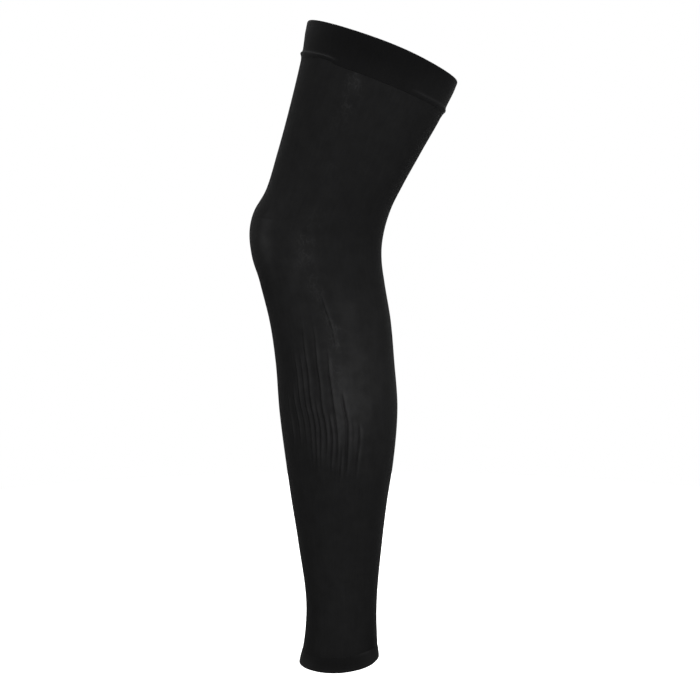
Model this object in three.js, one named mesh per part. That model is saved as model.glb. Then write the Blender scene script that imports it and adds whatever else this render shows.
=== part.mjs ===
// A full-length compression leg sleeve, in the shape it has when it is worn with the knee a little bent.
// It is a knitted tube from the thigh to the ankle, with a doubled band lapped over its top edge and a
// turned hem lapped over its ankle edge. Lengthwise folds gather on the outer side of the calf.
// Millimetres, +Z up. The front of the leg faces -Y, and the side with the folds faces +X.
// The origin is the centre of the thigh band, where the sleeve grips the leg.
import * as THREE from "three";
import { ParametricGeometry } from "three/addons/geometries/ParametricGeometry.js";
import { mergeVertices } from "three/addons/utils/BufferGeometryUtils.js";

// Driving dimensions
const KNIT_WALL = 1.4;
const SEAM_GAP = 0.3;
const BAND_HEIGHT = 36;
const BAND_LAP = 8;
const BAND_LAYER = 1.3;
const LIP_THICKNESS = 0.6;
const LIP_CURL = 1.5;
const LIP_END_POWER = 8;
const HEM_HEIGHT = 14;
const HEM_LAP = 5;
const HEM_LAYER = 0.6;
const GROOVE_DEGREES = 1;
const PLEAT_DEGREES = 2.4;
const PLEAT_SHIFT = 1.4;
const PLEAT_RISE = 0.8;
const FOLD_FADE_OUT = 18;
const INNER_FOLD = 0.5;
const FOLD_COLUMN_STEP = 1.6;
const SIDES = 60;
const INNER_ROW_STEP = 2;

// Sections of the knit's outer surface from the rim down. Each runs from a point on the front of the leg
// to a point on its back, and is width wide. egg narrows its front half and fills its back half.
// rows is the number of mesh rows down to the next section.
const SECTIONS = [
  { name: "rim", frontY: -70, frontZ: 45.5, backY: 80.8, backZ: -14.4, width: 157, egg: 0.02, rows: 1 },
  { name: "band edge", frontY: -77.5, frontZ: 11, backY: 68, backZ: -45, width: 152, egg: 0.03, rows: 2 },
  { name: "thigh", frontY: -89.6, frontZ: -38, backY: 45.8, backZ: -85, width: 138, egg: 0.03, rows: 2 },
  { name: "low thigh", frontY: -103, frontZ: -86, backY: 25.8, backZ: -121, width: 125, egg: 0, rows: 2 },
  { name: "above knee", frontY: -115, frontZ: -124, backY: 14, backZ: -145, width: 117, egg: -0.04, rows: 2 },
  { name: "knee top", frontY: -126, frontZ: -146, backY: 8, backZ: -164, width: 114, egg: -0.06, rows: 2 },
  { name: "knee", frontY: -130.5, frontZ: -168, backY: 5, backZ: -182, width: 112, egg: -0.06, rows: 2 },
  { name: "knee base", frontY: -128.5, frontZ: -193, backY: 5, backZ: -199, width: 110, egg: -0.03, rows: 2 },
  { name: "below knee", frontY: -122.5, frontZ: -220, backY: 8, backZ: -221, width: 108, egg: 0.04, rows: 4 },
  { name: "calf top", frontY: -112.5, frontZ: -261, backY: 14.5, backZ: -260, width: 110, egg: 0.1, rows: 4 },
  { name: "calf", frontY: -106.5, frontZ: -304, backY: 18.5, backZ: -304, width: 113, egg: 0.12, rows: 5 },
  { name: "calf belly", frontY: -103, frontZ: -354, backY: 22, backZ: -352, width: 112, egg: 0.12, rows: 6 },
  { name: "low calf", frontY: -96.5, frontZ: -409, backY: 18, backZ: -409, width: 101, egg: 0.1, rows: 4 },
  { name: "shin", frontY: -90.5, frontZ: -453, backY: 11.5, backZ: -453, width: 89, egg: 0.07, rows: 2 },
  { name: "low shin", frontY: -84, frontZ: -496, backY: 6.5, backZ: -496, width: 77, egg: 0.04, rows: 3 },
  { name: "ankle", frontY: -75.5, frontZ: -579, backY: 0.5, backZ: -579, width: 64, egg: 0, rows: 3 },
  { name: "hem top", frontY: -78.5, frontZ: -611, backY: 1.5, backZ: -610, width: 67, egg: 0, rows: 2 },
  { name: "hem", frontY: -82.5, frontZ: -631.8, backY: 2.5, backZ: -627.5, width: 72, egg: 0, rows: 1 },
];

// Where an edge of the sleeve rises or sags away from its section: how far down, and round which place.
const RIM_SAG = { down: -1.3, degrees: 103, wide: 32 };
const HEM_SAG = { down: 1.2, degrees: 88, wide: 40 };

// Where the lip of the thigh band rolls up, how far it is drawn up there, or hangs lower if that is
// negative, and how that tilts.
const LIP_CURLS = [
  { degrees: 26, roll: 1, wide: 30, up: 0.5, tilt: 2.9 },
  { degrees: 144, roll: 0.36, wide: 22, up: 0, tilt: 0 },
  { degrees: 178, roll: 0.75, wide: 15, up: -4.5, tilt: 0 },
];

// Soft rises and hollows at the kneecap, beside its lower edge and on the calf muscle. along is measured
// down the sleeve from the rim, degrees round it from the front, and tall and wide are how far each
// reaches. A high power gives a flat top with a defined edge.
const RELIEF = [
  { name: "kneecap", along: 206, degrees: 0, out: 2.2, tall: 30, wide: 43, power: 4 },
  { name: "kneecap side", along: 207, degrees: 38, out: 1.2, tall: 24, wide: 8, power: 2 },
  { name: "near hollow", along: 254, degrees: 31, out: -2.8, tall: 20, wide: 16, power: 2 },
  { name: "far hollow", along: 252, degrees: -37, out: -1.8, tall: 22, wide: 20, power: 2 },
  { name: "near calf", along: 378, degrees: 112, out: 2.6, tall: 62, wide: 27, power: 2 },
  { name: "far calf", along: 360, degrees: -112, out: 1.5, tall: 60, wide: 36, power: 2 },
];

// Lengthwise folds beside the calf, from front to back. lane is a fold's place in degrees from the front
// where the lean is nothing. Down the sleeve it starts at top, is at its whole depth from full on, and ends
// at bottom.
const FOLDS = [
  { lane: 48, top: 358, full: 380, bottom: 422, depth: 1.2 },
  { lane: 54.4, top: 322, full: 350, bottom: 428, depth: 1.4 },
  { lane: 60.7, top: 326, full: 350, bottom: 444, depth: 1.6 },
  { lane: 66.4, top: 284, full: 325, bottom: 446, depth: 1.9 },
  { lane: 71.6, top: 358, full: 385, bottom: 438, depth: 1.5 },
  { lane: 77.2, top: 284, full: 325, bottom: 438, depth: 2 },
  { lane: 82.7, top: 374, full: 390, bottom: 446, depth: 1.8 },
  { lane: 87.7, top: 316, full: 330, bottom: 446, depth: 2.2 },
  { lane: 92, top: 254, full: 272, bottom: 314, depth: 0.8 },
  { lane: 92, top: 410, full: 425, bottom: 452, depth: 1.3 },
  { lane: 97.7, top: 354, full: 366, bottom: 458, depth: 2.4 },
  { lane: 108.5, top: 384, full: 398, bottom: 454, depth: 1.8 },
];

// How far all the folds lie forward of their lanes, in degrees.
const FOLD_LEAN = [
  { along: 265, degrees: -3.2 },
  { along: 345, degrees: -3 },
  { along: 370, degrees: -1.9 },
  { along: 390, degrees: 0.2 },
  { along: 408, degrees: 0.7 },
  { along: 430, degrees: -0.6 },
  { along: 455, degrees: -2.2 },
];

// Where the mesh columns gather onto the folds, and where they are evenly spread again.
const GATHER = { evenAbove: 130, from: 250, to: 465, evenBelow: 590 };

// The value of a table's column at a place along the sleeve: a smooth curve through the rows, straight
// beyond the first and the last.
function smoothValue(table, column, along) {
  const last = table.length - 1;
  let i = 0;
  while (i < last - 1 && along > table[i + 1].along) i += 1;
  const secant = (k) => (table[k + 1][column] - table[k][column]) / (table[k + 1].along - table[k].along);
  const slope = (k) => {
    if (k === 0) return secant(0);
    if (k === last) return secant(last - 1);
    const before = table[k].along - table[k - 1].along;
    const after = table[k + 1].along - table[k].along;
    return (secant(k - 1) * after + secant(k) * before) / (before + after);
  };
  const span = table[i + 1].along - table[i].along;
  const t = (along - table[i].along) / span;
  if (t < 0) return table[i][column] + slope(i) * span * t;
  if (t > 1) return table[i + 1][column] + slope(i + 1) * span * (t - 1);
  const rise = t * t * (3 - 2 * t);
  return (
    table[i][column] * (1 - rise) +
    table[i + 1][column] * rise +
    slope(i) * span * t * (1 - t) * (1 - t) -
    slope(i + 1) * span * t * t * (1 - t)
  );
}

// Each section's place down the sleeve is the distance between section centres, added up from the rim.
function measureSections() {
  const centre = (s) => new THREE.Vector2((s.frontY + s.backY) / 2, (s.frontZ + s.backZ) / 2);
  SECTIONS.forEach((section, i) => {
    const before = SECTIONS[i - 1];
    section.along = before ? before.along + centre(section).distanceTo(centre(before)) : 0;
  });
  return SECTIONS.at(-1).along;
}

const SLEEVE_LENGTH = measureSections();
const BODY_TOP = BAND_HEIGHT - BAND_LAP;
const BODY_BOTTOM = SLEEVE_LENGTH - HEM_LAP;

// The shortest way round from one angle to another, in degrees.
function turnBetween(from, to) {
  return THREE.MathUtils.euclideanModulo(to - from + 180, 360) - 180;
}

// How far the rises and hollows lift the surface.
function reliefOut(along, degrees) {
  return RELIEF.reduce((sum, r) => {
    const down = Math.abs(along - r.along) / r.tall;
    const round = Math.abs(turnBetween(r.degrees, degrees)) / r.wide;
    return sum + r.out * Math.exp(-(down ** r.power) - round ** r.power);
  }, 0);
}

// How far forward the folds lie at a place along the sleeve.
function leanDegrees(along) {
  const within = THREE.MathUtils.clamp(along, FOLD_LEAN[0].along, FOLD_LEAN.at(-1).along);
  return smoothValue(FOLD_LEAN, "degrees", within);
}

// How far the folds lift the surface: for each a narrow groove, with a pleat that rises behind it, fading
// out at both ends.
function foldOut(along, degrees) {
  const lean = leanDegrees(along);
  return FOLDS.reduce((sum, f) => {
    const fade =
      THREE.MathUtils.smoothstep(along, f.top, f.full) *
      (1 - THREE.MathUtils.smoothstep(along, f.bottom - FOLD_FADE_OUT, f.bottom));
    const across = turnBetween(f.lane + lean, degrees);
    const pleat = Math.exp(-(((across - PLEAT_SHIFT) / PLEAT_DEGREES) ** 2));
    const groove = Math.exp(-((across / GROOVE_DEGREES) ** 2));
    return sum + f.depth * fade * (PLEAT_RISE * pleat - groove);
  }, 0);
}

// How far down an edge of the sleeve lies at a place round it.
function sagDown(sag, degrees) {
  return sag.down * Math.exp(-((turnBetween(sag.degrees, degrees) / sag.wide) ** 2));
}

// A point of the sleeve: along it from the rim, round it from the front, and out from the knit's surface.
function skinPoint(along, degrees, out, target) {
  const at = (column) => smoothValue(SECTIONS, column, along);
  const front = new THREE.Vector3(0, at("frontY"), at("frontZ"));
  const back = new THREE.Vector3(0, at("backY"), at("backZ"));
  const halfDepth = front.distanceTo(back) / 2;
  const halfWidth = at("width") / 2;
  const egg = at("egg");
  const angle = THREE.MathUtils.degToRad(degrees);
  const backward = new THREE.Vector3().subVectors(back, front).normalize();
  const depthwise = -halfDepth * Math.cos(angle);
  const sideways = halfWidth * Math.sin(angle) * (1 - egg * Math.cos(angle));
  const outward = new THREE.Vector2(
    -halfWidth * (Math.cos(angle) - egg * Math.cos(2 * angle)),
    halfDepth * Math.sin(angle),
  ).normalize();
  target.addVectors(front, back).multiplyScalar(0.5);
  target.addScaledVector(backward, depthwise + outward.x * out);
  target.x += sideways + outward.y * out;
  return target;
}

// The angles of the mesh columns that every fold needs: its bottom and a place on each side.
const FOLD_COLUMNS = [...new Set(FOLDS.map((f) => f.lane))].flatMap((lane) =>
  [-1, 0, 1].map((side) => lane + side * FOLD_COLUMN_STEP),
);

// The angle of a mesh column: on the folds where they run, and evenly spread near the ends of the sleeve.
function columnDegrees(column, along) {
  const gathered =
    THREE.MathUtils.smoothstep(along, GATHER.evenAbove, GATHER.from) *
    (1 - THREE.MathUtils.smoothstep(along, GATHER.to, GATHER.evenBelow));
  const first = FOLD_COLUMNS[0];
  const last = FOLD_COLUMNS.at(-1);
  const onFolds = FOLD_COLUMNS.length - 1;
  const even = (first + last) / 2 + (column - onFolds / 2) * (360 / SIDES);
  const restStep = (360 - (last - first)) / (SIDES - onFolds);
  const fan = column <= onFolds ? FOLD_COLUMNS[column] : last + (column - onFolds) * restStep;
  return THREE.MathUtils.lerp(even, fan + leanDegrees(along), gathered);
}

// A closed wall that goes right round the leg. Each row of its profile is a place along the sleeve and a
// height out from the knit's surface, and the profile runs down the outside and back up the inside.
function sweptWall(profile, shape) {
  const place = (u, v, target) => {
    const row = profile[Math.round(v * profile.length) % profile.length];
    const degrees = columnDegrees(Math.round((1 - u) * SIDES) % SIDES, row.along);
    return shape(row, degrees, target);
  };
  const grid = new ParametricGeometry(place, SIDES, profile.length);
  grid.deleteAttribute("normal");
  grid.deleteAttribute("uv");
  const closed = mergeVertices(grid);
  closed.computeVertexNormals();
  return closed;
}

// The knitted tube: outside rows from the sections, and every second of them again on the inside.
function sleeveBody() {
  const spread = SECTIONS.slice(0, -1).flatMap((section, i) => {
    const step = (SECTIONS[i + 1].along - section.along) / section.rows;
    return Array.from({ length: section.rows }, (_, k) => section.along + k * step);
  });
  const highest = BODY_TOP + BAND_LAP / 2;
  const lowest = BODY_BOTTOM - HEM_LAP / 2;
  const between = spread.filter((along) => along > highest && along < lowest);
  const rows = [BODY_TOP, ...between, BODY_BOTTOM];
  const innerRows = rows.filter((_, i) => i % INNER_ROW_STEP === 0 || i === rows.length - 1).reverse();
  const profile = [
    ...rows.map((along) => ({ along, out: 0, folded: 1 })),
    ...innerRows.map((along) => ({ along, out: -KNIT_WALL, folded: INNER_FOLD })),
  ];
  return sweptWall(profile, (row, degrees, target) => {
    const lift = reliefOut(row.along, degrees) + row.folded * foldOut(row.along, degrees);
    return skinPoint(row.along, degrees, row.out + lift, target);
  });
}

// The thigh band: two layers folded over at the rim. The outer layer laps over the body's top edge and
// ends in a thinner lip that rolls up in places, and the inner layer stops just short of that edge.
function thighBand() {
  const outside = SEAM_GAP + BAND_LAYER;
  const seat = BODY_TOP - SEAM_GAP;
  const tip = SEAM_GAP + LIP_THICKNESS;
  const profile = [
    { along: 0, out: -0.2 * KNIT_WALL, roll: 0 },
    { along: 1.5, out: 0.5 * outside, roll: 0 },
    { along: 5, out: 0.85 * outside, roll: 0 },
    { along: BAND_HEIGHT / 2, out: outside, roll: 0 },
    { along: BAND_HEIGHT - 6.5, out: outside, roll: 0.15 },
    { along: BAND_HEIGHT - 4, out: 0.8 * outside, roll: 1 },
    { along: BAND_HEIGHT - 1.6, out: tip, roll: 0.3 },
    { along: BAND_HEIGHT, out: tip, roll: 0 },
    { along: BAND_HEIGHT - 0.5, out: SEAM_GAP, roll: 0 },
    { along: seat, out: SEAM_GAP, roll: 0 },
    { along: seat, out: -KNIT_WALL, roll: 0 },
    { along: 4, out: -KNIT_WALL, roll: 0 },
    { along: 0.8, out: -0.8 * KNIT_WALL, roll: 0 },
  ];
  return sweptWall(profile, (row, degrees, target) => {
    const onLip = THREE.MathUtils.smoothstep(row.along, BODY_TOP, BAND_HEIGHT);
    const onRim = 1 - THREE.MathUtils.smoothstep(row.along, 0, BODY_TOP);
    let along = row.along + onRim * sagDown(RIM_SAG, degrees);
    let out = row.out;
    for (const curl of LIP_CURLS) {
      const turn = turnBetween(curl.degrees, degrees) / curl.wide;
      const here = Math.exp(-(turn ** LIP_END_POWER));
      along -= onLip * here * (curl.up + curl.tilt * turn);
      out += LIP_CURL * curl.roll * row.roll * here;
    }
    return skinPoint(along, degrees, out, target);
  });
}

// The ankle hem: a narrow turned edge that laps over the body's lower end.
function ankleHem() {
  const outside = SEAM_GAP + HEM_LAYER;
  const seat = BODY_BOTTOM + SEAM_GAP;
  const top = SLEEVE_LENGTH - HEM_HEIGHT;
  const profile = [
    { along: top, out: SEAM_GAP },
    { along: top - 0.4, out: 0.6 * outside },
    { along: top + 0.8, out: outside },
    { along: SLEEVE_LENGTH - 1.5, out: 0.9 * outside },
    { along: SLEEVE_LENGTH, out: 0.2 * outside },
    { along: SLEEVE_LENGTH, out: -0.7 * KNIT_WALL },
    { along: SLEEVE_LENGTH - 1, out: -KNIT_WALL },
    { along: seat, out: -KNIT_WALL },
    { along: seat, out: SEAM_GAP },
  ];
  return sweptWall(profile, (row, degrees, target) => {
    const onEdge = THREE.MathUtils.smoothstep(row.along, seat, SLEEVE_LENGTH);
    return skinPoint(row.along + onEdge * sagDown(HEM_SAG, degrees), degrees, row.out, target);
  });
}

const blackKnit = new THREE.MeshStandardMaterial({ color: 0x1d1d1e, roughness: 0.85, metalness: 0 });
const bandKnit = new THREE.MeshStandardMaterial({ color: 0x171718, roughness: 0.8, metalness: 0 });
const hemKnit = new THREE.MeshStandardMaterial({ color: 0x1a1a1b, roughness: 0.85, metalness: 0 });

function piece(name, geometry, material) {
  const mesh = new THREE.Mesh(geometry, material);
  mesh.name = name;
  return mesh;
}

const legSleeve = new THREE.Group();
legSleeve.name = "leg_sleeve";
legSleeve.add(
  piece("thigh_band", thighBand(), bandKnit),
  piece("sleeve_body", sleeveBody(), blackKnit),
  piece("ankle_hem", ankleHem(), hemKnit),
);

export default legSleeve;
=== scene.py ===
"""A black full-length compression leg sleeve, shown as it is worn with the knee a little bent.

The knit tube, its doubled thigh band and its turned ankle hem are swept round the same sections as the
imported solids, with finer folds, edges and stitches. Tables and sizes are in millimetres.
"""

import math

import bpy
import numpy as np
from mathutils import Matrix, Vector


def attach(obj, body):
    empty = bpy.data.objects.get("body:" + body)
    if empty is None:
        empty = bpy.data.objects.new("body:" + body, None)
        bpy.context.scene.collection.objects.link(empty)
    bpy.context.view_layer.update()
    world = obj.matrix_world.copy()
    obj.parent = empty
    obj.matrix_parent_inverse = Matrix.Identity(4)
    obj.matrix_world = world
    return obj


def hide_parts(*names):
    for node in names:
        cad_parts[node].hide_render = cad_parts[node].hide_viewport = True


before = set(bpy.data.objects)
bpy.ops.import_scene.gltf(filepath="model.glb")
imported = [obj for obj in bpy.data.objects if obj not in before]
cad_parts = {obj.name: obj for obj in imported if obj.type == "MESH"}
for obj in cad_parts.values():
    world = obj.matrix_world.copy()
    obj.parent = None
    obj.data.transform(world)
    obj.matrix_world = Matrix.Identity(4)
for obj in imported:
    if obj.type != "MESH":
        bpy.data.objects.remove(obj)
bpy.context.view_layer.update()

MM = 0.001

# Sizes of the knit and of its two finished edges
KNIT_WALL = 1.4
SEAM_GAP = 0.3
BAND_HEIGHT = 36
BAND_LAP = 8
BAND_LAYER = 1.3
BAND_TAPER = 0.08
BAND_TAPER_FROM = 12
BAND_WALL_FROM = 5
RIM_ROUND = 2.2
LIP_LENGTH = 11
LIP_SEAT = 3
LIP_CURL = 1.9
LIP_END_POWER = 8
HEM_HEIGHT = 14
HEM_LAP = 5
HEM_LAYER = 0.6
HEM_ROUND = 1.3
HEM_WALL_END = 2.5
HEM_RISE_FROM = 2
GROOVE_DEGREES = 1
GROOVE_GROWTH = 0.3
USUAL_DEPTH = 2
SLANT_LENGTH = 100
FOLD_WANDER = 0.3
WANDER_LENGTH = 8
PLEAT_DEGREES = 2.4
PLEAT_SHIFT = 1.4
PLEAT_RISE = 0.8
FOLD_FADE_SHARE = 0.55
INNER_FOLD = 0.5

# Sections of the knit's outer surface from the rim down, each from a point on the front of the leg to a
# point on its back. egg narrows the front half of a section and fills its back half.
SECTION_COLUMNS = ("front_y", "front_z", "back_y", "back_z", "width", "egg")
SECTIONS = {
    "rim": (-70, 45.5, 80.8, -14.4, 157, 0.02),
    "band edge": (-77.5, 11, 68, -45, 152, 0.03),
    "thigh": (-89.6, -38, 45.8, -85, 138, 0.03),
    "low thigh": (-103, -86, 25.8, -121, 125, 0),
    "above knee": (-115, -124, 14, -145, 117, -0.04),
    "knee top": (-126, -146, 8, -164, 114, -0.06),
    "knee": (-130.5, -168, 5, -182, 112, -0.06),
    "knee base": (-128.5, -193, 5, -199, 110, -0.03),
    "below knee": (-122.5, -220, 8, -221, 108, 0.04),
    "calf top": (-112.5, -261, 14.5, -260, 110, 0.1),
    "calf": (-106.5, -304, 18.5, -304, 113, 0.12),
    "calf belly": (-103, -354, 22, -352, 112, 0.12),
    "low calf": (-96.5, -409, 18, -409, 101, 0.1),
    "shin": (-90.5, -453, 11.5, -453, 89, 0.07),
    "low shin": (-84, -496, 6.5, -496, 77, 0.04),
    "ankle": (-75.5, -579, 0.5, -579, 64, 0),
    "hem top": (-78.5, -611, 1.5, -610, 67, 0),
    "hem": (-82.5, -631.8, 2.5, -627.5, 72, 0),
}

# Where an edge rises or sags away from its section: how far down, degrees from the front, reach.
RIM_SAG = (-1.3, 103, 32)
HEM_SAG = (1.2, 88, 40)
HEM_RISE = (-4.6, 142, 38)
HEM_HEEL = (-2.3, 172, 26)

# Where the lip of the thigh band rolls up: degrees from the front, amount, reach, how far it is drawn
# up there, or hangs lower if that is negative, and how much more so at the back end of the roll than
# at its middle.
LIP_CURLS = ((26, 1, 30, 0.5, 2.9), (144, 0.36, 22, 0, 0), (178, 0.75, 15, -4.5, 0))

# Soft rises and hollows: along the sleeve, degrees from the front, lift, reach along, reach round, and
# a power that makes the top flat.
RELIEF = {
    "kneecap": (206, 0, 2.2, 30, 43, 4),
    "kneecap side": (207, 38, 1.2, 24, 8, 2),
    "near hollow": (254, 31, -2.8, 20, 16, 2),
    "far hollow": (252, -37, -1.8, 22, 20, 2),
    "near calf": (378, 112, 2.6, 62, 27, 2),
    "far calf": (360, -112, 1.5, 60, 36, 2),
}

# Lengthwise folds beside the calf: lane in degrees from the front, then along the sleeve the top, the
# place where the fold is at its full depth and the bottom, then the depth, and the slant in degrees
# over SLANT_LENGTH.
FOLDS = (
    (38.4, 355, 375, 424, 0.9, 0),
    (47.2, 345, 370, 426, 1.3, 2),
    (53.4, 308, 335, 432, 1.4, 2),
    (59.8, 312, 340, 448, 1.45, 2),
    (66.1, 272, 340, 450, 1.9, 0.5),
    (71.6, 358, 385, 442, 1.5, 0),
    (77.2, 276, 345, 442, 2, 0),
    (82.7, 374, 390, 450, 1.8, 0),
    (87.7, 306, 340, 450, 2.2, 0),
    (92, 410, 425, 456, 1, 0),
    (90.5, 254, 268, 322, 1.2, 10),
    (97.7, 354, 366, 454, 3.7, 0),
    (102.8, 380, 392, 420, 0.7, 0),
    (108.5, 384, 398, 454, 1.9, 0),
)

# How far the folds lie behind their lanes, or in front of them if negative: along the sleeve, degrees.
FOLD_LEAN = ((265, -3.2), (345, -3), (370, -1.9), (390, 0.2), (408, 0.7), (430, -0.6), (455, -2.2))

# A short crease above the kneecap's side: along, degrees, depth, reach along, reach round.
CREASES = ((188, 41, 0.8, 1.4, 11),)

# Where the knit is painted lighter, or darker if the amount is negative. Part of this is the paler look
# of knit stretched over the calf and knee. The rest is painted highlights and painted shade: the darker
# rims, shin front, ankle back and hem top, and the lighter kneecap side and thigh front.
# along, degrees, amount, reach along, reach round.
SLEEVE_STRETCH_AND_PAINTED_LIGHT = {
    "calf": (348, 112, 0.27, 85, 42),
    "calf front": (370, 101, 0.29, 44, 15),
    "calf pleat": (382, 93, 0.3, 20, 4),
    "calf strip": (364, 82.5, 0.12, 18, 3),
    "calf top": (270, 110, 0.08, 13, 7),
    "crease side": (298, 100, 0.07, 18, 8),
    "calf crinkle": (336, 95, 0.1, 22, 7),
    "kneecap side": (210, 41.5, 0.42, 23, 7),
    "knee": (190, 45, 0.06, 50, 30),
    "knee crinkle": (222, 76, 0.15, 20, 13),
    "knee low": (236, 66, 0.08, 14, 8),
    "knee high": (200, 85, 0.08, 14, 6),
    "knee hollow": (256, 26, -0.05, 24, 12),
    "below knee": (266, 61, 0.12, 42, 26),
    "thigh crinkle": (48, 78, 0.12, 15, 4),
    "thigh back": (90, 140, 0.08, 60, 30),
    "shin": (560, 90, 0.07, 90, 40),
    "shin front": (575, 15, -0.09, 120, 25),
    "ankle back": (605, 165, -0.09, 60, 32),
    "ankle front": (612, 38, -0.06, 35, 14),
    "low calf": (430, 96, -0.07, 20, 10),
    "hem shade": (645, 88, -0.09, 7, 45),
    "heel shade": (640, 148, -0.08, 14, 20),
    "thigh rim": (95, 174, -0.3, 48, 24),
    "thigh front": (127, 4, 0.2, 40, 12),
    "knee rim": (205, 9, 0.34, 30, 15),
    "calf rim": (425, 172, -0.2, 45, 18),
}
# Painted light and shade on the thigh band: painted highlights at its front and back ends and by its rim
# at the front, and painted shade across its middle. along, degrees, amount, reach along, reach round.
BAND_PAINTED_LIGHT = {
    "front": (18, 12, 0.2, 40, 28),
    "front rim": (5, 18, 0.14, 12, 20),
    "middle": (8, 92, -0.09, 20, 50),
    "back": (24, 145, 0.13, 20, 30),
}
# Painted light and shade on the ankle hem: painted highlights at its front and back ends, along its
# rolled edge and along the top of its lap, and painted shade across its middle. along, degrees, amount,
# reach along, reach round.
HEM_PAINTED_LIGHT = {
    "front": (657, 27, 0.26, 10, 24),
    "back": (655, 146, 0.2, 10, 22),
    "middle": (650, 88, -0.1, 8, 50),
    "edge": (660, 88, 0.1, 3, 70),
    "seam": (642.4, 132, 0.26, 1.5, 16),
}

# How much lighter the crests of the folds are: partly the paler look of knit stretched over them, and
# partly a painted highlight. How much lighter the rolled lip of the band is: a painted highlight on its
# roll. And how high a crest is to be at its lightest.
CREST_STRETCH_AND_PAINTED_HIGHLIGHT = 0.3
CREST_HEIGHT = 1
LIP_PAINTED_HIGHLIGHT = 0.6

# A line of crinkled stitches down the side of the leg, drawn as painted highlights on their small
# wrinkles: along, degrees, how much it shows.
CRINKLE_LINE = (
    (36, 76, 0.9),
    (56, 79, 0.9),
    (100, 74, 0.25),
    (172, 88, 0.15),
    (203, 82, 1),
    (225, 80, 0.9),
    (266, 86, 0.6),
    (297, 95, 1.1),
    (309, 95, 0.9),
    (322, 92, 0.4),
    (338, 90, 1.1),
    (352, 90, 0.5),
    (366, 92, 0),
)
CRINKLE_HALF_DEGREES = 8

# Mesh columns: fine where the folds are, coarser round the rest of the leg.
FINE_FROM = 34
FINE_TO = 124
FINE_STEP = 0.5
COARSE_STEP = 3.4

# Mesh rows down the tube: from a place along the sleeve, the distance to the next row.
ROW_STEPS = ((0, 2.6), (175, 1.1), (240, 2), (470, 2.8))
LAST_STEP = 2
INNER_ROWS = 50

# Mesh columns and rows of the two finished edges
EDGE_COLUMNS = 300
RIM_STEPS = 13
BAND_WALL_ROWS = 7
HEM_WALL_ROWS = 4
HEM_STEPS = 11

# Stitches: how many columns there are round the leg, the height of a row, how far the legs of a stitch
# lean, powers that round its loop and its sides, its painted shade from low to high, darker where the
# stitch lies low, and its depth in metres.
WALES = 300
COURSE = 1.1
STITCH_LEAN = 0.55
STITCH_POWERS = (0.7, 0.5)
STITCH_PAINTED_SHADE = (0.8, 1.1)
STITCH_DEPTH = 0.0003

# Unevenness of the knit: blotches in all directions, streaks down the sleeve, and lines of crumpled
# stitches, which show in patches only and are painted lighter, as painted highlights on their small
# wrinkles.
BLOTCH_SCALE = 70.0
BLOTCH_RANGE = (0.3, 0.7)
STREAK_SCALE = (0.45, 0.03, 1.0)
STREAK_SPREAD = 0.12
CRUMPLE_SCALE = (0.3, 0.16, 1.0)
CRUMPLE_WIDTH = 0.05
CRUMPLE_PATCHES = (0.4, 0.55)
CRUMPLE_PAINTED_HIGHLIGHT = 0.4

# How much light yarn shows in plain knit, and how the yarn shines
LIGHT_SHARE = 0.21
ROUGHNESS_SPREAD = 0.05
SPECULAR = 0.012
SHEEN = 0.02
SHEEN_ROUGHNESS = 0.2

# The light yarn of all the knits, whose colour also serves for painted highlights. For each slot: the
# dark yarn, whose colour also serves for painted shade, the roughness, how much the stitches stand out,
# and how uneven the knit is.
LIGHT_YARN_AND_PAINTED_LIGHT = (0.026, 0.026, 0.0265)
KNITS = {
    "sleeve_knit": ((0.0055, 0.0055, 0.0056), 0.6, 0.5, 0.25),
    "band_knit": ((0.0014, 0.0014, 0.0015), 0.55, 0.3, 0.08),
    "hem_knit": ((0.0038, 0.0038, 0.0039), 0.6, 0.4, 0.15),
}

# Stage, light and camera, in metres, degrees and watts
FLOOR_HEIGHT = -0.95
FLOOR_RADIUS = 2.4
FLOOR_FADE = (0.2, 1.8)
FLOOR_GLOW = (0.25, 1.0)
BACKDROP_RADIUS = 20
SURROUND_BELOW = 0.42
SURROUND_ABOVE = 0.8
LIGHT_ASIDE = 1.5
LIGHT_BACK = 0.2
LIGHT_UP = 0.5
LIGHT_AIM = (0, -0.04, -0.3)
LIGHT_SIZE = 1.0
LIGHT_POWER = 19
CAMERA_PLACE = (1.3, -0.0282, -0.1379)
CAMERA_DOWN = 6.74
CAMERA_LENS = 64
CAMERA_SENSOR = 36


def smooth_curve(places, values):
    """A smooth curve through the values at those places, straight beyond the first and the last."""
    x = np.array(places, float)
    y = np.array(values, float)
    step = np.diff(x)
    secant = np.diff(y) / step
    inner = (secant[:-1] * step[1:] + secant[1:] * step[:-1]) / (step[:-1] + step[1:])
    slope = np.concatenate([secant[:1], inner, secant[-1:]])

    def value(at):
        i = np.clip(np.searchsorted(x, at) - 1, 0, len(step) - 1)
        t = (at - x[i]) / step[i]
        s = np.clip(t, 0, 1)
        rise = s * s * (3 - 2 * s)
        bend = slope[i] * s * (1 - s) ** 2 - slope[i + 1] * s * s * (1 - s)
        beyond = slope[i] * np.minimum(t, 0) + slope[i + 1] * np.maximum(t - 1, 0)
        return y[i] * (1 - rise) + y[i + 1] * rise + step[i] * (bend + beyond)

    return value


def smoothstep(at, low, high):
    """0 up to the low place, 1 from the high place, and a smooth rise between."""
    t = np.clip((at - low) / (high - low), 0, 1)
    return t * t * (3 - 2 * t)


def turn_between(start, end):
    """The shortest way round from one angle to another, in degrees."""
    return (end - start + 180) % 360 - 180


def section_curves():
    """A curve for each column of the sections, and the length of the sleeve down its middle."""
    rows = np.array(list(SECTIONS.values()), float)
    middles = (rows[:, 0:2] + rows[:, 2:4]) / 2
    steps = np.linalg.norm(np.diff(middles, axis=0), axis=1)
    along = np.concatenate([[0], np.cumsum(steps)])
    curves = {name: smooth_curve(along, rows[:, i]) for i, name in enumerate(SECTION_COLUMNS)}
    return curves, along[-1]


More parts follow.
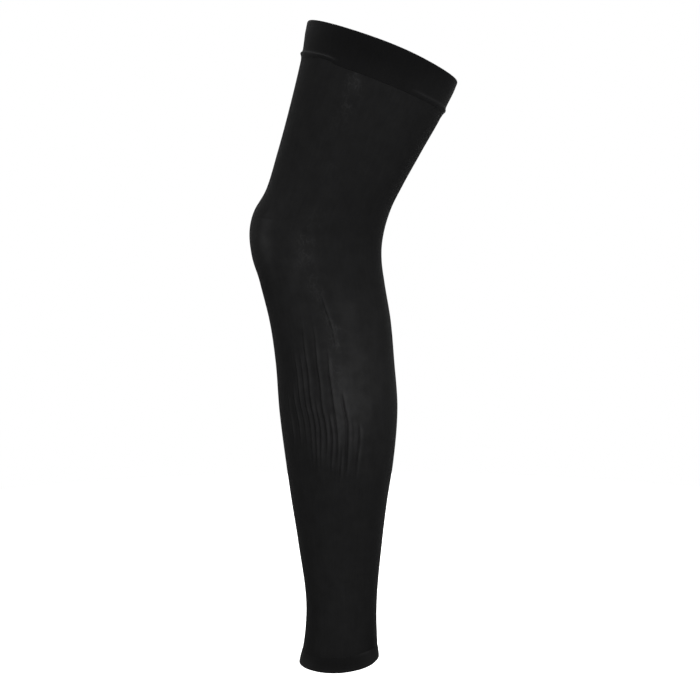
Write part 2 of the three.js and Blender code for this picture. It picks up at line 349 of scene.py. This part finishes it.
SECTION_AT, SLEEVE_LENGTH = section_curves()
BODY_TOP = BAND_HEIGHT - BAND_LAP
BODY_BOTTOM = SLEEVE_LENGTH - HEM_LAP
LEAN_AT = smooth_curve(*zip(*FOLD_LEAN))
LEAN_ENDS = (FOLD_LEAN[0][0], FOLD_LEAN[-1][0])
CRINKLE_PLACES, CRINKLE_DEGREES, CRINKLE_AMOUNTS = zip(*CRINKLE_LINE)
CRINKLE_AT = smooth_curve(CRINKLE_PLACES, CRINKLE_DEGREES)


def skin(along, degrees, out):
    """Points of the sleeve: along it from the rim, round it from the front, out from its surface."""
    at = {name: curve(along) for name, curve in SECTION_AT.items()}
    zero = np.zeros_like(along)
    front = np.stack([zero, at["front_y"], at["front_z"]], axis=-1)
    back = np.stack([zero, at["back_y"], at["back_z"]], axis=-1)
    across = back - front
    depth = np.linalg.norm(across, axis=-1)
    backward = across / depth[..., None]
    half_depth = depth / 2
    half_width = at["width"] / 2
    angle = np.radians(degrees)
    outward = np.stack(
        [
            -half_width * (np.cos(angle) - at["egg"] * np.cos(2 * angle)),
            half_depth * np.sin(angle),
        ],
        axis=-1,
    )
    outward /= np.linalg.norm(outward, axis=-1)[..., None]
    depthwise = -half_depth * np.cos(angle) + outward[..., 0] * out
    sideways = half_width * np.sin(angle) * (1 - at["egg"] * np.cos(angle)) + outward[..., 1] * out
    points = (front + back) / 2 + backward * depthwise[..., None]
    points[..., 0] += sideways
    return points


def relief(along, degrees):
    """The soft rises and hollows, added up."""
    total = np.zeros_like(along)
    for place, turn, out, tall, wide, power in RELIEF.values():
        down = np.abs(along - place) / tall
        around = np.abs(turn_between(turn, degrees)) / wide
        total += out * np.exp(-(down**power) - around**power)
    return total


def lean(along):
    """How far the folds lie behind their lanes at a place."""
    return LEAN_AT(np.clip(along, *LEAN_ENDS))


def folds(along, degrees):
    """A narrow groove for each fold, with a pleat that rises behind it, fading out at both ends."""
    total = np.zeros_like(along)
    lanes = degrees - lean(along)
    for lane, top, full, bottom, depth, slant in FOLDS:
        ending = bottom - FOLD_FADE_SHARE * (bottom - full)
        fade = smoothstep(along, top, full) * (1 - smoothstep(along, ending, bottom))
        drift = slant * (along - top) / SLANT_LENGTH
        path = lane + drift + FOLD_WANDER * np.sin(along / WANDER_LENGTH + lane)
        across = turn_between(path, lanes)
        pleat = np.exp(-(((across - PLEAT_SHIFT) / PLEAT_DEGREES) ** 2))
        groove_width = GROOVE_DEGREES * (1 + GROOVE_GROWTH * (depth - USUAL_DEPTH))
        groove = np.exp(-((across / groove_width) ** 2))
        total += depth * fade * (PLEAT_RISE * pleat - groove)
    return total


def sag(place, degrees):
    """How far down an edge of the sleeve lies, round it."""
    down, centre, wide = place
    return down * np.exp(-((turn_between(centre, degrees) / wide) ** 2))


def spots(along, degrees, table):
    """Soft round spots on the sleeve, each with its own amount and reach, added up."""
    total = np.zeros_like(along)
    for place, turn, amount, tall, wide in table:
        down = (along - place) / tall
        around = turn_between(turn, degrees) / wide
        total += amount * np.exp(-(down**2) - around**2)
    return total


def crinkles(along, degrees):
    """How much of the line of crinkled stitches a place shows."""
    middle = CRINKLE_AT(np.clip(along, CRINKLE_PLACES[0], CRINKLE_PLACES[-1]))
    across = turn_between(middle, degrees) / CRINKLE_HALF_DEGREES
    return np.interp(along, CRINKLE_PLACES, CRINKLE_AMOUNTS) * np.exp(-(across**2))


def closed_wall(name, along, degrees, out, pale, crinkle):
    """A mesh right round the leg, from grids whose rows run down its outside and up its inside."""
    rows, columns = along.shape
    points = skin(along, degrees, out).reshape(-1, 3) * MM
    corner = np.arange(rows * columns).reshape(rows, columns)
    below = np.roll(corner, -1, axis=0)
    faces = np.stack([corner, below, np.roll(below, -1, axis=1), np.roll(corner, -1, axis=1)], axis=-1)
    mesh = bpy.data.meshes.new(name)
    mesh.from_pydata(points.tolist(), [], faces.reshape(-1, 4).tolist())

    # Stitch coordinates: columns of stitches counted round the leg, rows of stitches counted down it.
    wales = degrees / 360 * WALES
    next_wales = np.roll(wales, -1, axis=1)
    next_wales[:, -1] += WALES
    courses = along / COURSE
    next_courses = np.roll(courses, -1, axis=0)
    wales_below = np.roll(wales, -1, axis=0)
    next_wales_below = np.roll(next_wales, -1, axis=0)
    u = np.stack([wales, wales_below, next_wales_below, next_wales], axis=-1)
    v = np.stack([courses, next_courses, next_courses, courses], axis=-1)
    layer = mesh.uv_layers.new(name="stitches")
    layer.uv.foreach_set("vector", np.stack([u, v], axis=-1).astype(np.float32).ravel())

    # pale carries the paler look of stretched knit together with painted highlights and painted shade.
    for kind, amount in (("pale", pale), ("crinkle", crinkle)):
        attribute = mesh.attributes.new(kind, "FLOAT", "POINT")
        attribute.data.foreach_set("value", amount.astype(np.float32).ravel())
    mesh.shade_smooth()
    mesh.validate()
    piece = bpy.data.objects.new(name, mesh)
    bpy.context.scene.collection.objects.link(piece)
    return piece


def body_columns():
    """Angles round the leg, close together across the folds."""
    fine = np.arange(FINE_FROM, FINE_TO, FINE_STEP)
    count = round((360 - (FINE_TO - FINE_FROM)) / COARSE_STEP)
    coarse = np.linspace(FINE_TO, FINE_FROM + 360, count, endpoint=False)
    return np.concatenate([fine, coarse])


def body_rows():
    """Places down the tube, close together where its surface has the finest forms."""
    places = [BODY_TOP]
    while places[-1] < BODY_BOTTOM - LAST_STEP:
        step = [step for start, step in ROW_STEPS if start <= places[-1]][-1]
        places.append(places[-1] + step)
    places[-1] = BODY_BOTTOM
    return np.array(places)


def make_body():
    """The knitted tube from under the thigh band to inside the ankle hem."""
    outside = body_rows()
    inside = np.linspace(BODY_BOTTOM, BODY_TOP, INNER_ROWS)
    along, base = np.meshgrid(np.concatenate([outside, inside]), body_columns(), indexing="ij")
    degrees = base + lean(along)
    is_outside = (np.arange(len(along)) < len(outside))[:, None]
    folded = folds(along, degrees)
    creased = folded - spots(along, degrees, CREASES)
    surface = relief(along, degrees) + np.where(is_outside, creased, INNER_FOLD * folded - KNIT_WALL)
    crests = np.clip(folded / CREST_HEIGHT, 0, 1)
    # Painted light: highlights and shade are painted into the sleeve's colour, along with the stretched
    # knit's paler look and painted highlights on the fold crests.
    pale = spots(along, degrees, SLEEVE_STRETCH_AND_PAINTED_LIGHT.values()) + CREST_STRETCH_AND_PAINTED_HIGHLIGHT * crests
    crinkle = crinkles(along, degrees) * is_outside
    return closed_wall("sleeve_body_knit", along, degrees, surface, pale * is_outside, crinkle)


def edge_grids(profile):
    """A grid for each column of an edge's profile, and one of the angles, right round the leg."""
    around = np.linspace(0, 360, EDGE_COLUMNS, endpoint=False)
    columns = np.array(profile, float).T
    grids = [np.repeat(column[:, None], EDGE_COLUMNS, axis=1) for column in columns]
    return grids + [np.repeat(around[None, :], len(profile), axis=0)]


def arc(along, out, radius_along, radius_out, start, end, steps):
    """Points of a profile on a half round, from one angle to another, in degrees."""
    turns = np.radians(np.linspace(start, end, steps))
    return [(along - radius_along * math.cos(t), out + radius_out * math.sin(t), 0) for t in turns]


def make_band():
    """The doubled thigh band, with a rounded rim and a thin lip that curls up in places."""
    outside = SEAM_GAP + BAND_LAYER
    seat = BODY_TOP - SEAM_GAP
    middle = (outside - KNIT_WALL) / 2
    half = (outside + KNIT_WALL) / 2
    rim = arc(RIM_ROUND, middle, RIM_ROUND, half, -90, 90, RIM_STEPS)
    wall_rows = np.linspace(BAND_WALL_FROM, BAND_HEIGHT - LIP_LENGTH, BAND_WALL_ROWS)
    wall = [(a, outside - BAND_TAPER * max(a - BAND_TAPER_FROM, 0), 0) for a in wall_rows]

    # The lip: back from its tip, out from the knit, and its share of the roll.
    lip = (
        (9, 0.45, 0),
        (7, 0.4, 0.05),
        (6, 0.37, 0.25),
        (5.3, 0.35, 0.65),
        (4.7, 0.34, 0.95),
        (4.2, 0.33, 1),
        (3.7, 0.32, 0.85),
        (3.1, 0.31, 0.5),
        (2.4, 0.3, 0.22),
        (1.5, 0.28, 0.08),
        (0.6, 0.26, 0),
        (0.15, 0.24, 0),
    )
    tip = ((0, 0.18, 0), (0.1, 0.1, 0), (2, 0.1, 0))
    edge = [(BAND_HEIGHT - back, out, roll) for back, out, roll in lip + tip]
    under = [(seat + LIP_SEAT, SEAM_GAP, 0), (seat, SEAM_GAP, 0)]
    inner = [(a, -KNIT_WALL, 0) for a in np.linspace(seat, BAND_WALL_FROM, BAND_WALL_ROWS)]
    along, out, roll, degrees = edge_grids(rim + wall + edge + under + inner)
    on_lip = smoothstep(along, BODY_TOP, BAND_HEIGHT)
    on_rim = 1 - smoothstep(along, 0, BODY_TOP)
    rolled = np.zeros_like(along)
    placed = along + on_rim * sag(RIM_SAG, degrees)
    for place, amount, reach, up, tilt in LIP_CURLS:
        turn = turn_between(place, degrees) / reach
        here = np.exp(-(turn**LIP_END_POWER))
        rolled += amount * roll * here
        placed -= on_lip * here * (up + tilt * turn)
    # Painted light and shade on the band, with a painted highlight on its rolled lip.
    pale = spots(placed, degrees, BAND_PAINTED_LIGHT.values()) + LIP_PAINTED_HIGHLIGHT * rolled
    plain = np.zeros_like(along)
    return closed_wall("thigh_band_knit", placed, degrees, out + LIP_CURL * rolled, pale, plain)


def make_hem():
    """The turned ankle hem, lapped over the tube's lower end."""
    outside = SEAM_GAP + HEM_LAYER
    seat = BODY_BOTTOM + SEAM_GAP
    top = SLEEVE_LENGTH - HEM_HEIGHT
    middle = (outside - KNIT_WALL) / 2
    half = (outside + KNIT_WALL) / 2
    wall_top = top + HEM_HEIGHT / 2

    # The lap: down from its upper edge, out from the knit.
    lap = ((3, 0.1), (0.4, 0.1), (0, 0.18), (0.3, 0.3), (1.2, 0.42), (3, 0.55))
    fold = [(top + down, out, 0) for down, out in lap]
    wall_rows = np.linspace(wall_top, SLEEVE_LENGTH - HEM_WALL_END, HEM_WALL_ROWS)
    wall = [(a, outside, 0) for a in wall_rows]
    edge = arc(SLEEVE_LENGTH - HEM_ROUND, middle, -HEM_ROUND, half, 90, -90, HEM_STEPS)
    inner = [(seat, -KNIT_WALL, 0), (seat, SEAM_GAP, 0)]
    along, out, plain, degrees = edge_grids(fold + wall + edge + inner)
    on_lap = 1 - smoothstep(along, top + HEM_RISE_FROM, wall_top)
    on_edge = smoothstep(along, seat, SLEEVE_LENGTH)
    placed = along + on_edge * (sag(HEM_SAG, degrees) + sag(HEM_HEEL, degrees))
    placed += on_lap * sag(HEM_RISE, degrees)
    # Painted highlights and painted shade on the hem.
    pale = spots(placed, degrees, HEM_PAINTED_LIGHT.values())
    return closed_wall("ankle_hem_knit", placed, degrees, out, pale, plain)


class Nodes:
    """Short ways to add shader nodes to a new material."""

    def __init__(self, name):
        self.material = bpy.data.materials.new(name)
        self.material.use_nodes = True
        self.tree = self.material.node_tree
        self.shader = self.tree.nodes["Principled BSDF"]

    def add(self, kind, **inputs):
        node = self.tree.nodes.new(kind)
        for name, value in inputs.items():
            self.put(node.inputs[name.replace("_", " ")], value)
        return node

    def put(self, socket, value):
        if isinstance(value, bpy.types.NodeSocket):
            self.tree.links.new(value, socket)
        else:
            socket.default_value = value

    def math(self, operation, first, second=0.0):
        node = self.tree.nodes.new("ShaderNodeMath")
        node.operation = operation
        self.put(node.inputs[0], first)
        self.put(node.inputs[1], second)
        return node.outputs[0]

    def stretch_range(self, value, low, high, to_low, to_high):
        node = self.add("ShaderNodeMapRange", Value=value)
        node.inputs["From Min"].default_value = low
        node.inputs["From Max"].default_value = high
        node.inputs["To Min"].default_value = to_low
        node.inputs["To Max"].default_value = to_high
        return node.outputs["Result"]

    def amount(self, name):
        node = self.tree.nodes.new("ShaderNodeAttribute")
        node.attribute_name = name
        return node.outputs["Fac"]


def stitch_height(n):
    """Rows of small V stitches: two legs that lean together in each column."""
    uv = n.tree.nodes.new("ShaderNodeUVMap")
    uv.uv_map = "stitches"
    parts = n.add("ShaderNodeSeparateXYZ", Vector=uv.outputs["UV"])
    across = n.math("SUBTRACT", n.math("FRACT", parts.outputs["X"]), 0.5)
    leg = n.math("MULTIPLY", n.math("ABSOLUTE", across), 2.0)
    leaning = n.math("SUBTRACT", parts.outputs["Y"], n.math("MULTIPLY", leg, STITCH_LEAN))
    down = n.math("FRACT", leaning)
    loop = n.math("SINE", n.math("MULTIPLY", down, math.pi))
    side = n.math("SINE", n.math("MULTIPLY", leg, math.pi))
    loop_power, side_power = STITCH_POWERS
    height = n.math("MULTIPLY", n.math("POWER", loop, loop_power), n.math("POWER", side, side_power))
    return height, uv.outputs["UV"]


def knit_material(name, dark, roughness, bump, grain):
    """Black stretch knit: fine stitches, soft blotches, paler yarn where the cloth is drawn tight, and
    painted highlights and painted shade.
    """
    n = Nodes(name)
    height, uv = stitch_height(n)
    place = n.tree.nodes.new("ShaderNodeTexCoord").outputs["Object"]
    blotches = n.add("ShaderNodeTexNoise", Vector=place, Scale=BLOTCH_SCALE, Detail=4.0, Roughness=0.6)
    blotch = blotches.outputs["Fac"]
    streak_place = n.add("ShaderNodeMapping", Vector=uv, Scale=STREAK_SCALE).outputs["Vector"]
    streak = n.add("ShaderNodeTexNoise", Vector=streak_place, Scale=1.0, Detail=3.0).outputs["Fac"]
    crumple_place = n.add("ShaderNodeMapping", Vector=uv, Scale=CRUMPLE_SCALE).outputs["Vector"]
    crumple = n.add("ShaderNodeTexNoise", Vector=crumple_place, Scale=1.0, Detail=1.5).outputs["Fac"]

    # How much light yarn shows: a share everywhere, more where the knit is stretched or crinkled, and
    # more or less where painted highlights and painted shade are laid on.
    uneven = n.stretch_range(blotch, *BLOTCH_RANGE, 1.0 - grain, 1.0 + grain)
    spread = STREAK_SPREAD * grain
    streaks = n.stretch_range(streak, *BLOTCH_RANGE, LIGHT_SHARE - spread, LIGHT_SHARE + spread)
    ground = n.math("MULTIPLY", streaks, uneven)
    stretch_and_painted_light = n.math("MULTIPLY", n.amount("pale"), uneven)
    off_line = n.math("ABSOLUTE", n.math("SUBTRACT", crumple, 0.5))
    lines = n.stretch_range(off_line, 0.0, CRUMPLE_WIDTH, 1.0, 0.0)
    patches = n.stretch_range(blotch, *CRUMPLE_PATCHES, 0.0, CRUMPLE_PAINTED_HIGHLIGHT)
    # Painted highlights on the small wrinkles of the crinkled stitches.
    crinkled = n.math("MULTIPLY", n.amount("crinkle"), n.math("MULTIPLY", lines, patches))
    share = n.math("ADD", n.math("ADD", ground, stretch_and_painted_light), crinkled)
    # Painted shade: the colour of each stitch is darker where it lies low.
    yarn_share_and_painted_light = n.math("MULTIPLY", share, n.stretch_range(height, 0.0, 1.0, *STITCH_PAINTED_SHADE))

    colour = n.tree.nodes.new("ShaderNodeMix")
    colour.data_type = "RGBA"
    n.put(colour.inputs[0], yarn_share_and_painted_light)
    colour.inputs[6].default_value = (*dark, 1)
    colour.inputs[7].default_value = (*LIGHT_YARN_AND_PAINTED_LIGHT, 1)
    n.put(n.shader.inputs["Base Color"], colour.outputs[2])
    smoothest = roughness - ROUGHNESS_SPREAD
    roughest = roughness + ROUGHNESS_SPREAD
    n.put(n.shader.inputs["Roughness"], n.stretch_range(blotch, *BLOTCH_RANGE, smoothest, roughest))
    n.shader.inputs["Specular IOR Level"].default_value = SPECULAR
    n.shader.inputs["Sheen Weight"].default_value = SHEEN
    n.shader.inputs["Sheen Roughness"].default_value = SHEEN_ROUGHNESS
    relief_node = n.add("ShaderNodeBump", Height=height, Strength=bump, Distance=STITCH_DEPTH)
    n.put(n.shader.inputs["Normal"], relief_node.outputs["Normal"])
    return n.material


def only_seen(obj):
    """Leave an object of the stage to the camera, so that it throws no light on the black cloth."""
    obj.visible_diffuse = False
    obj.visible_glossy = False
    obj.visible_transmission = False
    obj.visible_shadow = False


def make_stage():
    """A plain pale floor well below the hem, which fades into a white backdrop all round."""
    n = Nodes("pale floor")
    place = n.add("ShaderNodeTexCoord").outputs["Object"]
    away = n.add("ShaderNodeVectorMath", Vector=place)
    away.operation = "LENGTH"
    n.shader.inputs["Base Color"].default_value = (0.9, 0.9, 0.9, 1)
    n.shader.inputs["Roughness"].default_value = 0.9
    n.shader.inputs["Specular IOR Level"].default_value = 0.0
    n.shader.inputs["Emission Color"].default_value = (1, 1, 1, 1)
    glow = n.stretch_range(away.outputs["Value"], *FLOOR_FADE, *FLOOR_GLOW)
    n.put(n.shader.inputs["Emission Strength"], glow)
    centre = (0, 0, FLOOR_HEIGHT)
    bpy.ops.mesh.primitive_circle_add(
        vertices=96, radius=FLOOR_RADIUS, fill_type="NGON", location=centre
    )
    floor = bpy.context.object
    floor.name = "floor"
    floor.data.materials.append(n.material)

    white = Nodes("white backdrop")
    white.shader.inputs["Base Color"].default_value = (0, 0, 0, 1)
    white.shader.inputs["Specular IOR Level"].default_value = 0.0
    white.shader.inputs["Emission Color"].default_value = (1, 1, 1, 1)
    white.shader.inputs["Emission Strength"].default_value = 1.0
    bpy.ops.mesh.primitive_uv_sphere_add(segments=48, ring_count=24, radius=BACKDROP_RADIUS)
    backdrop = bpy.context.object
    backdrop.name = "backdrop"
    backdrop.data.materials.append(white.material)
    for obj in (floor, backdrop):
        only_seen(obj)


def make_surround():
    """Soft light from all round, brighter from above than from below."""
    world = bpy.data.worlds.new("studio")
    world.use_nodes = True
    tree = world.node_tree
    direction = tree.nodes.new("ShaderNodeTexCoord").outputs["Generated"]
    parts = tree.nodes.new("ShaderNodeSeparateXYZ")
    tree.links.new(direction, parts.inputs[0])
    strength = tree.nodes.new("ShaderNodeMapRange")
    strength.inputs["From Min"].default_value = -1
    strength.inputs["From Max"].default_value = 1
    strength.inputs["To Min"].default_value = SURROUND_BELOW
    strength.inputs["To Max"].default_value = SURROUND_ABOVE
    tree.links.new(parts.outputs["Z"], strength.inputs["Value"])
    background = tree.nodes["Background"]
    background.inputs["Color"].default_value = (1, 1, 1, 1)
    tree.links.new(strength.outputs["Result"], background.inputs["Strength"])
    bpy.context.scene.world = world
    bpy.context.scene.view_settings.view_transform = "Standard"


def add_light(name, side):
    """A soft round light to one side of the leg, aimed at its middle."""
    lamp = bpy.data.lights.new(name, "AREA")
    lamp.shape = "DISK"
    lamp.size = LIGHT_SIZE
    lamp.energy = LIGHT_POWER
    light = bpy.data.objects.new(name, lamp)
    place = Vector((LIGHT_ASIDE * side, LIGHT_BACK, LIGHT_UP))
    light.location = place
    light.rotation_euler = (Vector(LIGHT_AIM) - place).to_track_quat("-Z", "Y").to_euler()
    bpy.context.scene.collection.objects.link(light)


def make_camera():
    """The photograph's view: level with the knee, from the side with the folds, looking a bit down."""
    lens = bpy.data.cameras.new("camera")
    lens.sensor_width = CAMERA_SENSOR
    lens.lens = CAMERA_LENS
    camera = bpy.data.objects.new("camera", lens)
    camera.location = CAMERA_PLACE
    camera.rotation_euler = (math.radians(90 - CAMERA_DOWN), 0, math.radians(90))
    bpy.context.scene.collection.objects.link(camera)
    bpy.context.scene.camera = camera


# Pieces: the mesh, the node that it stands for, the slot, the flat cut in metres, and its area in square
# metres where it isn't a rectangle.
PIECES = (
    (make_body(), "sleeve_body", "sleeve_knit", (0.40, 0.60), 0.185),
    (make_band(), "thigh_band", "band_knit", (0.40, 0.036), None),
    (make_hem(), "ankle_hem", "hem_knit", (0.19, 0.014), None),
)
MATERIALS = {slot: knit_material(slot.replace("_", " "), *look) for slot, look in KNITS.items()}
for piece, node, slot, flat, area in PIECES:
    piece.data.materials.append(MATERIALS[slot])
    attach(piece, "root")
    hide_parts(node)

make_stage()
make_surround()
add_light("near light", 1)
add_light("far light", -1)
make_camera()
